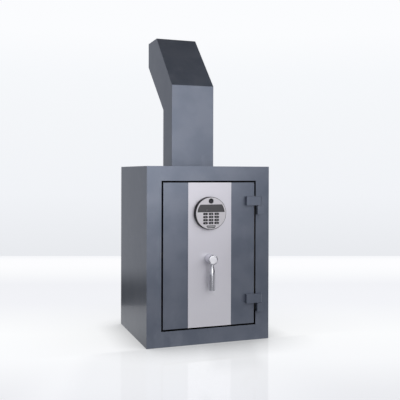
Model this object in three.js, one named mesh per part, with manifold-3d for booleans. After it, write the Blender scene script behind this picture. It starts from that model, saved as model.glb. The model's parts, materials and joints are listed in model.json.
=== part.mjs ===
// A gooseneck deposit safe: a welded steel cabinet with a flush door, and a bent neck on top.
// Bags are pushed in at the mouth behind the neck and fall past two toothed baffles into the cabinet.
// Millimetres, +Z up. The origin is in the middle of the footprint, on the floor. The door faces -Y.
import * as THREE from 'three';
import { mergeVertices } from 'three/addons/utils/BufferGeometryUtils.js';
import Module from 'manifold-3d';

const wasm = await Module();
wasm.setup();

// Fits
const fit = 0.3; // gap between a piece and its seat
const running = 0.5; // gap beside a piece that turns or slides
const roundSides = 24;

// Cabinet
const bodyWidth = 440;
const bodyDepth = 380;
const bodyHeight = 600;
const wall = 6;
const frameThickness = 8;
const stileWidth = 50;
const railHeight = 49;
const sillHeight = 52;
const anchorRadius = 6;
const anchorInset = 70; // from the outer faces to the anchor holes
const stopLip = 6; // how far the stop bars reach behind the door's edge
const stopWidth = 20;
const stopThickness = 6;
const strikeWidth = 30;
const strikeThickness = 10;
const strikeHeight = 440;

// Neck
const neckWidth = 160;
const neckDepth = 110;
const neckWall = 3;
const neckInset = 180; // from the cabinet's front to the neck's front
const neckRise = 502; // from the cabinet's top to the neck's top
const kneeHeight = 296; // where the front panel bends back, at 45 degrees
const rearKneeHeight = 214;
const mouthOverhang = 125; // from the cabinet's rear to the mouth
const mouthHeight = 96;
const collarBorder = 25;
const collarThickness = 6;
const baffleReach = 42;
const baffleTilt = THREE.MathUtils.degToRad(30);
const baffleThickness = 3;
const toothDepth = 10;
const toothWidth = 14;
const frontBaffleRise = 160;
const rearBaffleRise = 75;
const flapPinRadius = 3;
const flapPinInset = 7; // from the mouth's plane
const flapPinDrop = 11; // from the neck's top
const flapBarrelRadius = 5.5;
const flapThickness = 3;
const flapSideGap = 2;
const flapFootGap = 6;

// Door
const doorGap = 6;
const doorThickness = 8;
const trimWidth = 155;
const trimThickness = 1.5;
const panWall = 3;
const panDepth = 53;
const panLatchInset = 6; // from the door's edge to the pan, on the bolt side
const panHingeInset = 14;
const panEndInset = 17;
const coverThickness = 3;
const fixedBarReach = 12; // how far the fixed bar stands beyond the door's hinge edge
const fixedBarThickness = 10;
const fixedBarDepth = 12; // from the door's front face
const fixedBarHeight = 400;

// Hinges
const hingePinRadius = 4;
const hingeAxisInset = 39; // from the cabinet's side to the hinge axis
const hingeRadius = 8.5;
const hingeKnuckleWidth = 22;
const hingeKnuckleHeight = 31;
const hingeStrapHeight = 31;
const hingeStrapReach = 51.5; // from the axis towards the middle of the door
const hingeStandOff = 9; // from the front face to the hinge axis
const hingeJointGap = 1;
const hingePinSeat = 25;
const upperHingeDrop = 134; // from the cabinet's top to the joint of each hinge
const lowerHingeRise = 130;

// Boltwork
const boltRadius = 10;
const boltTravel = 26;
const boltDepth = 30; // from the door's front face to the bolts' middle
const boltShow = 2; // how far a drawn bolt stands out of the pan
const boltSpacing = 160;
const boltSeat = 14;
const carrierInset = 46; // from the pan's edge to the carrier
const carrierWidth = 68;
const carrierHeight = 380;
const carrierThickness = 6;
const armHeight = 30;
const armTip = 14; // beyond the crank pin
const guideRadius = 4;
const guideHeadRadius = 8;
const guideHeadThickness = 4;
const guideCollarRadius = 7;
const guideSpacing = 200;

// Handle
const controlOffset = -3; // handle and keypad stand this far from the door's middle
const handleBelowKeypad = 154;
const hubRadius = 16.5;
const hubFront = 45; // from the door's front face
const hubRound = 3.5; // the rim's rounding
const hubCapRadius = 12.5;
const hubCapThickness = 2;
const leverStandOff = 32;
const leverLength = 103;
const leverNeckRadius = 6.6;
const leverSwellLength = 36; // from the hub to where the grip is full
const leverTipRadius = 10;
const leverTipRound = 1;
const leverStudRadius = 4.5;
const leverStudLength = 9;
const spindleRadius = 6;
const spindleSeat = 4; // the hub's wall in front of the spindle
const camRadius = 25;
const camThickness = 7;
const camDepth = 12; // from the door's front face
const crankPinRadius = 4;
const crankPinTail = 3; // behind the carrier
const spindleTail = 3; // behind the cam

// Keypad
const keypadDrop = 103; // from the door's top edge
const keypadRadius = 55;
const keypadBaseDepth = 17.5;
const keypadFaceThickness = 2;
const keypadFaceRadius = 53.2;
const keyWidth = 16;
const keyHeight = 6.8;
const keyLength = 6.2;
const keyPitchAcross = 20;
const keyPitchDown = 10.2;
const keyRowDrop = 2; // from the keypad's middle to the first row
const keyGap = 0.4;
const keyProud = 1.2;
const keyTravel = 1.2;
const displayRadius = 47.5;
const displayBottom = 5;
const displayTop = 28.5;
const displayThickness = 1.5;
const readerRise = 41.3;
const readerRadius = 8.3;
const readerThickness = 2.5;

// Lock
const hardPlateThickness = 3;
const hardPlateWidth = 105;
const hardPlateHeight = 90;
const lockWidth = 83;
const lockHeight = 61;
const lockDepth = 32;
const lockRise = 87.5; // from the handle's axis to the lock's middle
const lockGap = 13; // from the drawn carrier to the lock
const lockBoltWidth = 20;
const lockBoltDepth = 14;
const lockBoltLength = 55;
const lockBoltStandOff = 9; // from the lock's front to its bolt
const lockBoltGap = 1; // from the drawn carrier to the lock's bolt
const lockPocketGap = 2; // behind the lock's bolt when it is pushed in
const cableRadius = 2;
const cableSides = 8;
const cableSteps = 16;
const cableHoleRadius = 6;

// Places worked out from the sizes above
const front = -bodyDepth / 2;
const rear = bodyDepth / 2;
const doorwayHalf = bodyWidth / 2 - stileWidth;
const doorwayTop = bodyHeight - railHeight;
const frameBack = front + frameThickness;
const doorWidth = 2 * (doorwayHalf - doorGap);
const doorBottom = sillHeight + doorGap;
const doorHeight = doorwayTop - doorGap - doorBottom;
const panLeft = -doorWidth / 2 + panLatchInset;
const panRight = doorWidth / 2 - panHingeInset;
const panBack = doorThickness + panDepth;
const keypadHeight = doorHeight - keypadDrop;
const handleHeight = keypadHeight - handleBelowKeypad;
const hingeX = bodyWidth / 2 - hingeAxisInset;
const boltTip = panLeft - boltShow;
const carrierLeft = panLeft + carrierInset;
const carrierRight = carrierLeft + carrierWidth;
const boltHeights = { upper: boltSpacing, middle: 0, lower: -boltSpacing };
const crankOffset = boltTravel / 2;
const crankRadius = Math.hypot(crankOffset, crankOffset);
const lockLeft = carrierRight + lockGap;

// Finishes
function finish(color, metalness, roughness) {
  return new THREE.MeshStandardMaterial({ color, metalness, roughness });
}

const paint = () => finish(0x6c7280, 0.1, 0.45);
const brushedSteel = () => finish(0xbcbac2, 0.9, 0.35);
const chrome = () => finish(0xd8d8dc, 1, 0.12);
const plainSteel = () => finish(0x8d9096, 0.9, 0.4);
const blackPlastic = () => finish(0x1e1e22, 0, 0.5);
const silverPlastic = () => finish(0xc8c6c8, 0.3, 0.4);

// Directions for an outline drawn in X and Y: where its own X, its own Y and its thickness point
const alongX = new THREE.Vector3(1, 0, 0);
const alongY = new THREE.Vector3(0, 1, 0);
const alongZ = new THREE.Vector3(0, 0, 1);
const back = (axis) => axis.clone().negate();
const upright = new THREE.Matrix4().makeBasis(alongX, alongZ, back(alongY));
const sideways = new THREE.Matrix4().makeBasis(alongY, alongZ, alongX);

// Directions for a turned profile: where its axis points
const turnedTo = {
  front: new THREE.Matrix4().makeBasis(alongX, back(alongY), back(alongZ)),
  rear: new THREE.Matrix4(),
  up: upright,
  down: new THREE.Matrix4().makeBasis(alongX, back(alongZ), alongY),
  right: new THREE.Matrix4().makeBasis(back(alongY), alongX, alongZ),
};

function block(x0, x1, y0, y1, z0, z1) {
  const geometry = new THREE.BoxGeometry(x1 - x0, y1 - y0, z1 - z0);
  return geometry.translate((x0 + x1) / 2, (y0 + y1) / 2, (z0 + z1) / 2);
}

function outline(points) {
  return new THREE.Shape(points.map(([x, y]) => new THREE.Vector2(x, y)));
}

function rectangle(x0, x1, y0, y1) {
  return outline([[x0, y0], [x1, y0], [x1, y1], [x0, y1]]);
}

function disc(x, y, radius) {
  const shape = new THREE.Shape();
  shape.absarc(x, y, radius, 0, 2 * Math.PI);
  return shape;
}

function withHoles(shape, ...holes) {
  shape.holes.push(...holes);
  return shape;
}

function extrude(shape, thickness) {
  const options = { depth: thickness, bevelEnabled: false, curveSegments: roundSides / 2 };
  return new THREE.ExtrudeGeometry(shape, options);
}

// An outline in X and Z that is thick along +Y, from Y = 0
function frontPlate(shape, thickness) {
  return extrude(shape, thickness).applyMatrix4(upright).translate(0, thickness, 0);
}

// An outline in Y and Z that is thick along +X, from X = 0
function sidePlate(shape, thickness) {
  return extrude(shape, thickness).applyMatrix4(sideways);
}

// A profile of [radius, height] pairs turned about an axis through the origin
function turned(profile, direction, sides = roundSides) {
  const points = profile.map(([radius, height]) => new THREE.Vector2(radius, height));
  return new THREE.LatheGeometry(points, sides).applyMatrix4(turnedTo[direction]);
}

function rod(radius, from, to, direction, sides = roundSides) {
  return turned([[0, from], [radius, from], [radius, to], [0, to]], direction, sides);
}

// A closed geometry as a solid that can be joined and cut
function toSolid(geometry) {
  const bare = geometry.clone();
  bare.deleteAttribute('normal');
  bare.deleteAttribute('uv');
  const merged = mergeVertices(bare);
  const corners = merged.index.array;
  const triangles = [];
  for (let i = 0; i < corners.length; i += 3) {
    const [a, b, c] = corners.slice(i, i + 3);
    if (a !== b && b !== c && c !== a) triangles.push(a, b, c);
  }
  const vertProperties = merged.attributes.position.array;
  const triVerts = Uint32Array.from(triangles);
  return new wasm.Manifold(new wasm.Mesh({ numProp: 3, vertProperties, triVerts }));
}

function toGeometry(solid) {
  const { vertProperties, triVerts } = solid.getMesh();
  const geometry = new THREE.BufferGeometry();
  geometry.setAttribute('position', new THREE.BufferAttribute(vertProperties, 3));
  geometry.setIndex(new THREE.BufferAttribute(triVerts, 1));
  geometry.computeVertexNormals();
  return geometry;
}

function cut(geometry, ...tools) {
  return toGeometry(tools.reduce((solid, tool) => solid.subtract(toSolid(tool)), toSolid(geometry)));
}

function join(geometry, ...others) {
  return toGeometry(others.reduce((solid, other) => solid.add(toSolid(other)), toSolid(geometry)));
}

// The same path moved sideways by an equal distance from every stretch, to the right of its direction
function parallelPath(points, distance) {
  const normals = points.slice(1).map(([x, y], i) => {
    const [dx, dy] = [x - points[i][0], y - points[i][1]];
    const length = Math.hypot(dx, dy);
    return [dy / length, -dx / length];
  });
  return points.map(([x, y], i) => {
    const before = normals[Math.max(i - 1, 0)];
    const after = normals[Math.min(i, normals.length - 1)];
    const share = distance / (1 + before[0] * after[0] + before[1] * after[1]);
    return [x + share * (before[0] + after[0]), y + share * (before[1] + after[1])];
  });
}

const safe = new THREE.Group();

function groupAt(parent, x, y, z) {
  const group = new THREE.Group();
  group.position.set(x, y, z);
  parent.add(group);
  return group;
}

function add(parent, name, geometry, material, x = 0, y = 0, z = 0) {
  const mesh = new THREE.Mesh(geometry, material);
  mesh.name = name;
  mesh.position.set(x, y, z);
  parent.add(mesh);
  return mesh;
}

// Cabinet: six plates welded to a box, with the front frame round the doorway
function buildCabinet() {
  const cabinet = groupAt(safe, 0, 0, 0);
  const half = bodyWidth / 2;
  const inner = half - wall;
  const rearInside = rear - wall;
  const sidePanel = block(0, wall, frameBack, rearInside, 0, bodyHeight);
  add(cabinet, 'left_side_panel', sidePanel, paint(), -half);
  add(cabinet, 'right_side_panel', sidePanel.clone(), paint(), inner);
  add(cabinet, 'rear_panel', block(-half, half, 0, wall, 0, bodyHeight), paint(), 0, rearInside);

  const neckHalf = neckWidth / 2 - neckWall;
  const holeFront = front + neckInset + neckWall;
  const holeRear = front + neckInset + neckDepth - neckWall;
  const neckHole = () => rectangle(-neckHalf, neckHalf, holeFront, holeRear);
  const floorOutline = () => rectangle(-inner, inner, frameBack, rearInside);
  const topPanel = extrude(withHoles(floorOutline(), neckHole()), wall);
  add(cabinet, 'top_panel', topPanel, paint(), 0, 0, bodyHeight - wall);

  const anchorX = half - anchorInset;
  const anchorY = bodyDepth / 2 - anchorInset;
  const anchorsAt = (x) => [disc(x, -anchorY, anchorRadius), disc(x, anchorY, anchorRadius)];
  const anchors = [...anchorsAt(-anchorX), ...anchorsAt(anchorX)];
  add(cabinet, 'bottom_panel', extrude(withHoles(floorOutline(), ...anchors), wall), paint());

  const collarHalf = neckHalf + collarBorder;
  const collarOutline = rectangle(-collarHalf, collarHalf, holeFront - collarBorder, holeRear + collarBorder);
  const collar = extrude(withHoles(collarOutline, neckHole()), collarThickness);
  add(cabinet, 'neck_collar', collar, paint(), 0, 0, bodyHeight - wall - collarThickness);

  const doorway = rectangle(-doorwayHalf, doorwayHalf, sillHeight, doorwayTop);
  const frame = frontPlate(withHoles(rectangle(-half, half, 0, bodyHeight), doorway), frameThickness);
  add(cabinet, 'front_frame', frame, paint(), 0, front);

  const stopBar = block(-doorwayHalf, doorwayHalf, 0, stopThickness, 0, stopWidth);
  const doorTop = doorBottom + doorHeight;
  add(cabinet, 'door_stop_top', stopBar, paint(), 0, frameBack, doorTop - stopLip);
  add(cabinet, 'door_stop_bottom', stopBar.clone(), paint(), 0, frameBack, doorBottom + stopLip - stopWidth);

  const strikeBottom = doorBottom + (doorHeight - strikeHeight) / 2;
  const strike = block(-strikeWidth, 0, 0, strikeThickness, 0, strikeHeight);
  add(cabinet, 'bolt_strike', strike, plainSteel(), -doorwayHalf, frameBack, strikeBottom);
}

// Hinges: each has a knuckle on the frame that holds the pin, and a strap on the door that turns on it
function buildHinge(side, jointHeight) {
  const hinge = groupAt(safe, hingeX, front - hingeStandOff, jointHeight);
  const boreRadius = hingePinRadius + fit;
  const halfGap = hingeJointGap / 2;
  const knuckleHalf = hingeKnuckleWidth / 2;
  const knuckleHeight = hingeKnuckleHeight - halfGap;
  const knuckleBlock = block(-knuckleHalf, knuckleHalf, -hingeRadius, hingeStandOff, -knuckleHeight, 0);
  const knuckleBore = rod(boreRadius, halfGap - hingePinSeat - fit, halfGap, 'up');
  const knuckle = cut(knuckleBlock, knuckleBore).translate(0, 0, -halfGap);
  add(hinge, `hinge_knuckle_${side}`, knuckle, paint());
  add(hinge, `hinge_pin_${side}`, rod(hingePinRadius, -hingePinSeat, hingePinSeat, 'up'), plainSteel());

  const strapOutline = new THREE.Shape();
  const toDoorEdge = doorWidth / 2 - hingeX;
  strapOutline.moveTo(0, -hingeRadius);
  strapOutline.absarc(0, 0, hingeRadius, -Math.PI / 2, Math.PI / 2);
  strapOutline.lineTo(toDoorEdge, hingeRadius);
  strapOutline.lineTo(toDoorEdge, hingeStandOff);
  strapOutline.lineTo(-hingeStrapReach, hingeStandOff);
  strapOutline.lineTo(-hingeStrapReach, -hingeRadius);
  const strapBar = extrude(strapOutline, hingeStrapHeight - halfGap).translate(0, 0, halfGap);
  const strap = cut(strapBar, rod(boreRadius, 0, hingePinSeat + fit, 'up'));
  add(hinge, `hinge_strap_${side}`, strap, paint());
}

// Neck: two side plates cut to the bent profile, with a folded panel in front and another behind
function buildNeck() {
  const neck = groupAt(safe, 0, front + neckInset, bodyHeight);
  const mouthY = bodyDepth - neckInset + mouthOverhang;
  const mouthBottom = neckRise - mouthHeight;
  const topStart = neckRise - kneeHeight;
  const frontPath = [[0, 0], [0, kneeHeight], [topStart, neckRise], [mouthY, neckRise]];
  const rearPath = [[mouthY, mouthBottom], [neckDepth, rearKneeHeight], [neckDepth, 0]];
  const inner = neckWidth / 2 - neckWall;

  const side = sidePlate(outline([...frontPath, ...rearPath]), neckWall);
  add(neck, 'neck_left_side', side, paint(), -neckWidth / 2);
  add(neck, 'neck_right_side', side.clone(), paint(), inner);

  const folded = (path) => {
    const band = outline([...path, ...parallelPath(path, neckWall).reverse()]);
    return sidePlate(band, 2 * inner);
  };
  add(neck, 'neck_front_panel', folded(frontPath), paint(), -inner);
  add(neck, 'neck_rear_panel', folded(rearPath), paint(), -inner);

  // Baffles: toothed plates that slope down from the front and rear panels
  const half = inner - fit;
  const teeth = Math.max(2, Math.round((2 * half) / toothWidth));
  const pitch = (2 * half) / teeth;
  const points = [[half, 0]];
  for (let tooth = teeth; tooth > 0; tooth -= 1) {
    const right = -half + tooth * pitch;
    points.push([right, baffleReach - toothDepth], [right - pitch / 2, baffleReach]);
  }
  points.push([-half, baffleReach - toothDepth], [-half, 0]);
  const baffle = extrude(outline(points), baffleThickness);
  const frontBaffle = add(neck, 'baffle_front', baffle, plainSteel(), 0, neckWall + fit, frontBaffleRise);
  frontBaffle.rotation.x = -baffleTilt;
  const rearSeat = neckDepth - neckWall - fit;
  const rearBaffle = add(neck, 'baffle_rear', baffle.clone(), plainSteel(), 0, rearSeat, rearBaffleRise);
  rearBaffle.rotation.set(baffleTilt, 0, Math.PI);

  // Flap: hangs on its pin inside the mouth and swings inwards
  const pinHeight = neckRise - flapPinDrop;
  const flap = groupAt(neck, 0, mouthY - flapPinInset, pinHeight);
  const flapHalf = inner - flapSideGap;
  const flapLength = pinHeight - mouthBottom - flapFootGap;
  const leaf = block(-flapHalf, flapHalf, -flapThickness / 2, flapThickness / 2, -flapLength, 0);
  const barrel = rod(flapBarrelRadius, -flapHalf, flapHalf, 'right');
  const bore = rod(flapPinRadius + fit, -neckWidth, neckWidth, 'right');
  add(flap, 'deposit_flap', cut(join(leaf, barrel), bore), paint());
  add(flap, 'flap_pin', rod(flapPinRadius, -inner + fit, inner - fit, 'right'), plainSteel());
}

// Door: a steel leaf with a bright plate down its middle, and a closed pan for the boltwork behind it
function buildDoor() {
  const door = groupAt(safe, 0, front, doorBottom);
  const half = doorWidth / 2;
  const spindleHole = () => disc(controlOffset, handleHeight, spindleRadius + running);
  const cableHole = () => disc(controlOffset, keypadHeight, cableHoleRadius);
  const leaf = withHoles(rectangle(-half, half, 0, doorHeight), spindleHole(), cableHole());
  add(door, 'door_plate', frontPlate(leaf, doorThickness), paint());
  const trim = withHoles(rectangle(-trimWidth / 2, trimWidth / 2, 0, doorHeight), spindleHole(), cableHole());
  add(door, 'trim_plate', frontPlate(trim, trimThickness), brushedSteel(), 0, -trimThickness);

  const panBottom = panEndInset;
  const panTop = doorHeight - panEndInset;
  const panOutline = () => rectangle(panLeft, panRight, panBottom, panTop);
  const panHollow = rectangle(panLeft + panWall, panRight - panWall, panBottom + panWall, panTop - panWall);
  const boltBores = Object.values(boltHeights).map((offset) => {
    const bore = rod(boltRadius + running, panLeft - panWall, panLeft + 2 * panWall, 'right');
    return bore.translate(0, boltDepth, doorHeight / 2 + offset);
  });
  const panWalls = frontPlate(withHoles(panOutline(), panHollow), panDepth).translate(0, doorThickness, 0);
  add(door, 'door_pan', cut(panWalls, ...boltBores), paint());
  add(door, 'door_cover', frontPlate(panOutline(), coverThickness), paint(), 0, panBack);

  const barHalf = fixedBarHeight / 2;
  const bar = block(panRight, half + fixedBarReach, 0, fixedBarThickness, -barHalf, barHalf);
  add(door, 'hinge_side_bar', bar, plainSteel(), 0, fixedBarDepth, doorHeight / 2);

  buildBoltwork(door);
  buildLock(door);
  buildHandle(groupAt(door, controlOffset, 0, handleHeight));
  buildKeypad(groupAt(door, controlOffset, -trimThickness, keypadHeight));
}

// Boltwork: three round bolts on a carrier plate that slides on two guide studs
function buildBoltwork(door) {
  const middle = doorHeight / 2;
  const carrierFront = boltDepth - carrierThickness / 2;
  const carrierHalf = carrierHeight / 2;
  const crankX = controlOffset + crankOffset;
  const crankZ = handleHeight + crankOffset;
  const slotHalf = guideRadius + running;
  const guideX = carrierLeft + boltSeat + guideRadius + slotHalf;

  const armOutline = [
    [carrierLeft, middle - carrierHalf],
    [carrierRight, middle - carrierHalf],
    [carrierRight, crankZ - armHeight / 2],
    [crankX + armTip, crankZ - armHeight / 2],
    [crankX + armTip, crankZ + armHeight / 2],
    [carrierRight, crankZ + armHeight / 2],
    [carrierRight, middle + carrierHalf],
    [carrierLeft, middle + carrierHalf],
  ];
  const slotStart = guideX - slotHalf;
  const slotEnd = guideX + boltTravel + slotHalf;
  const guideSlot = (z) => rectangle(slotStart, slotEnd, z - slotHalf, z + slotHalf);
  const crankLift = crankRadius - crankOffset;
  const crankHalf = crankPinRadius + 2 * running; // the pin's arc strays from an even stroke
  const crankSlot = rectangle(
    crankX - crankHalf,
    crankX + crankHalf,
    crankZ - crankPinRadius - running,
    crankZ + crankLift + crankPinRadius + running,
  );
  const guideHeights = { upper: middle + guideSpacing / 2, lower: middle - guideSpacing / 2 };
  const slots = Object.values(guideHeights).map(guideSlot);
  const carrier = frontPlate(withHoles(outline(armOutline), ...slots, crankSlot), carrierThickness);
  add(door, 'bolt_carrier', carrier, plainSteel(), 0, carrierFront);

  // Each bolt is slotted at its inner end, where it grips the carrier's edge
  const gripHalf = carrierThickness / 2 + fit;
  const gripStart = carrierLeft - fit;
  const gripEnd = carrierLeft + boltSeat;
  const grip = block(gripStart, gripEnd + fit, -gripHalf, gripHalf, -2 * boltRadius, 2 * boltRadius);
  for (const [place, offset] of Object.entries(boltHeights)) {
    const bolt = cut(rod(boltRadius, boltTip, gripEnd, 'right'), grip);
    add(door, `locking_bolt_${place}`, bolt, chrome(), 0, boltDepth, middle + offset);
  }

  const headStart = carrierFront + carrierThickness + running;
  const headEnd = headStart + guideHeadThickness;
  const guideProfile = [
    [0, doorThickness],
    [guideCollarRadius, doorThickness],
    [guideCollarRadius, carrierFront - running],
    [guideRadius, carrierFront - running],
    [guideRadius, headStart],
    [guideHeadRadius, headStart],
    [guideHeadRadius, headEnd],
    [0, headEnd],
  ];
  for (const [place, height] of Object.entries(guideHeights)) {
    add(door, `carrier_guide_${place}`, turned(guideProfile, 'rear'), plainSteel(), guideX, 0, height);
  }
}

// Lock: a hardened plate, the lock's body with a pocket for its bolt, and the bolt that blocks the carrier
function buildLock(door) {
  const lock = groupAt(door, lockLeft, doorThickness, handleHeight + lockRise);
  const boltHalf = lockBoltWidth / 2;
  const boltFront = hardPlateThickness + lockBoltStandOff;
  const boltBack = boltFront + lockBoltDepth;
  const boltStart = lockBoltGap - lockGap;
  const boltEnd = boltStart + lockBoltLength;
  const [halfWidth, halfHeight] = [hardPlateWidth / 2, hardPlateHeight / 2];
  const hardPlate = block(-halfWidth, halfWidth, 0, hardPlateThickness, -halfHeight, halfHeight);
  add(lock, 'hard_plate', hardPlate, plainSteel(), lockWidth / 2);

  const lockBack = hardPlateThickness + lockDepth;
  const lockCase = block(0, lockWidth, hardPlateThickness, lockBack, -lockHeight / 2, lockHeight / 2);
  const pocketHalf = boltHalf + running;
  const pocketEnd = boltEnd + lockPocketGap;
  const pocket = block(-lockGap, pocketEnd, boltFront - running, boltBack + running, -pocketHalf, pocketHalf);
  add(lock, 'lock_body', cut(lockCase, pocket), blackPlastic());
  add(lock, 'lock_bolt', block(boltStart, boltEnd, boltFront, boltBack, -boltHalf, boltHalf), plainSteel());
}

// Handle: a chromed hub and lever outside, and a spindle with a crank inside that drives the carrier
function buildHandle(handle) {
  const hubRear = trimThickness + running;
  const capSeat = hubFront - hubCapThickness;
  const spindleFront = capSeat - spindleSeat;
  const rim = new THREE.Path().absarc(hubRadius - hubRound, hubFront - hubRound, hubRound, 0, Math.PI / 2);
  const hubProfile = [
    [spindleRadius + fit, hubRear],
    [hubRadius, hubRear],
    ...rim.getPoints(5).map((point) => [point.x, point.y]),
    [hubCapRadius + fit, hubFront],
    [hubCapRadius + fit, capSeat],
    [0, capSeat],
    [0, spindleFront + fit],
    [spindleRadius + fit, spindleFront + fit],
    [spindleRadius + fit, hubRear],
  ];
  const studTop = hubRadius - leverStudLength;
  const studBore = rod(leverStudRadius + fit, studTop - fit, 2 * hubRadius, 'down');
  const hub = cut(turned(hubProfile, 'front', 2 * roundSides), studBore.translate(0, -leverStandOff, 0));
  add(handle, 'handle_hub', hub, chrome());
  add(handle, 'handle_cap', rod(hubCapRadius, capSeat + fit, hubFront, 'front', 2 * roundSides), chrome());

  const swellMiddle = hubRadius + leverSwellLength / 2;
  const swell = new THREE.CubicBezierCurve(
    new THREE.Vector2(leverNeckRadius, hubRadius),
    new THREE.Vector2(leverNeckRadius, swellMiddle),
    new THREE.Vector2(leverTipRadius, swellMiddle),
    new THREE.Vector2(leverTipRadius, hubRadius + leverSwellLength),
  );
  const leverProfile = [
    [0, hubRadius / 2],
    [leverNeckRadius, hubRadius / 2],
    ...swell.getPoints(8).map((point) => [point.x, point.y]),
    [leverTipRadius, leverLength - leverTipRound],
    [leverTipRadius - leverTipRound, leverLength],
    [0, leverLength],
  ];
  const hubRoom = rod(hubRadius + fit, -leverStandOff, leverStandOff, 'front', 2 * roundSides);
  const stud = rod(leverStudRadius, studTop, hubRadius + leverStudRadius, 'down');
  const lever = join(cut(turned(leverProfile, 'down'), hubRoom), stud);
  add(handle, 'handle_lever', lever, chrome(), 0, -leverStandOff);

  const camBack = camDepth + camThickness;
  const carrierBack = boltDepth + carrierThickness / 2;
  const spindle = rod(spindleRadius, -spindleFront, camBack + spindleTail, 'rear');
  add(handle, 'handle_spindle', spindle, plainSteel());
  const camDisc = rod(camRadius, camDepth, camBack, 'rear', 2 * roundSides);
  const crankPin = rod(crankPinRadius, camDepth, carrierBack + crankPinTail, 'rear');
  const camBore = rod(spindleRadius + fit, 0, camBack + camThickness, 'rear');
  const cam = cut(join(camDisc, crankPin.translate(crankOffset, 0, crankOffset)), camBore);
  add(handle, 'handle_cam', cam, plainSteel());
}

// Keypad: a dark base with a silver face, a display window, a round reader and twelve keys
function buildKeypad(keypad) {
  const keyNames = ['1', '2', '3', '4', '5', '6', '7', '8', '9', 'star', '0', 'hash'];
  const keys = keyNames.map((name, index) => ({
    name,
    x: ((index % 3) - 1) * keyPitchAcross,
    z: -keyRowDrop - Math.floor(index / 3) * keyPitchDown,
  }));
  const keyFront = keypadBaseDepth + keypadFaceThickness + keyProud;
  const keyRear = keyFront - keyLength;
  const pocketFloor = keyRear - keyTravel - fit;
  const pocketHalf = keyPitchAcross + keyWidth / 2 + 2 * keyGap;
  const pocketTop = keys[0].z + keyHeight / 2 + 2 * keyGap;
  const pocketBottom = keys.at(-1).z - keyHeight / 2 - 2 * keyGap;
  const pocket = block(-pocketHalf, pocketHalf, -2 * keypadBaseDepth, -pocketFloor, pocketBottom, pocketTop);
  const base = cut(rod(keypadRadius, 0, keypadBaseDepth, 'front', 2 * roundSides), pocket);
  add(keypad, 'keypad_base', base, blackPlastic());

  const keyOutline = ({ x, z }, gap) => {
    const [halfWidth, halfHeight] = [keyWidth / 2 + gap, keyHeight / 2 + gap];
    return rectangle(x - halfWidth, x + halfWidth, z - halfHeight, z + halfHeight);
  };
  const displayOutline = (gap) => {
    const radius = displayRadius + gap;
    const low = Math.asin((displayBottom - gap) / radius);
    const high = Math.asin((displayTop + gap) / radius);
    const shape = new THREE.Shape();
    shape.absarc(0, 0, radius, low, high);
    shape.absarc(0, 0, radius, Math.PI - high, Math.PI - low);
    return shape;
  };
  const faceBack = keypadBaseDepth;
  const faceFront = faceBack + keypadFaceThickness;
  const holeOutlines = [
    ...keys.map((key) => keyOutline(key, keyGap)),
    displayOutline(fit),
    disc(0, readerRise, readerRadius + fit),
  ];
  const holes = holeOutlines.map((shape) => frontPlate(shape, 2 * faceFront).translate(0, -2 * faceFront, 0));
  const face = cut(rod(keypadFaceRadius, faceBack, faceFront, 'front', 2 * roundSides), ...holes);
  add(keypad, 'keypad_face', face, silverPlastic());
  const display = frontPlate(displayOutline(0), displayThickness);
  add(keypad, 'display_window', display, blackPlastic(), 0, -keypadBaseDepth - displayThickness);
  const reader = rod(readerRadius, keypadBaseDepth, keypadBaseDepth + readerThickness, 'front');
  add(keypad, 'key_reader', reader, blackPlastic(), 0, 0, readerRise);
  for (const key of keys) {
    add(keypad, `key_${key.name}`, frontPlate(keyOutline(key, 0), keyLength), blackPlastic(), 0, -keyFront);
  }

  // Lead from the keypad through the door and down to the top of the lock
  const lockTop = lockRise + lockHeight / 2 - handleBelowKeypad;
  const leadDepth = trimThickness + doorThickness + hardPlateThickness + lockDepth / 2;
  const route = new THREE.CatmullRomCurve3([
    new THREE.Vector3(0, fit, 0),
    new THREE.Vector3(0, trimThickness + doorThickness, 0),
    new THREE.Vector3(0, leadDepth - 3 * cableRadius, -3 * cableRadius),
    new THREE.Vector3(0, leadDepth, lockTop / 2),
    new THREE.Vector3(0, leadDepth, lockTop + fit),
  ]);
  const section = Array.from({ length: cableSides }, (_, i) => {
    const angle = (2 * Math.PI * i) / cableSides;
    return [cableRadius * Math.cos(angle), cableRadius * Math.sin(angle)];
  });
  const leadOptions = { steps: cableSteps, bevelEnabled: false, extrudePath: route };
  const lead = new THREE.ExtrudeGeometry(outline(section), leadOptions);
  add(keypad, 'keypad_cable', lead, blackPlastic());
}

buildCabinet();
buildHinge('upper', bodyHeight - upperHingeDrop);
buildHinge('lower', lowerHingeRise);
buildNeck();
buildDoor();

export default safe;
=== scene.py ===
# %% [markdown]
# A gooseneck deposit safe, dressed for its picture.
# The welded cabinet, the bent neck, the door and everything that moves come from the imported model,
# already at their real size. This script gives each piece its finish, and models again, as fine
# meshes, the pieces whose roundness the faceted solids only hint at.

# %% Load the frame
import json
import math

import bmesh
import bpy
from mathutils import Matrix, Vector

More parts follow.
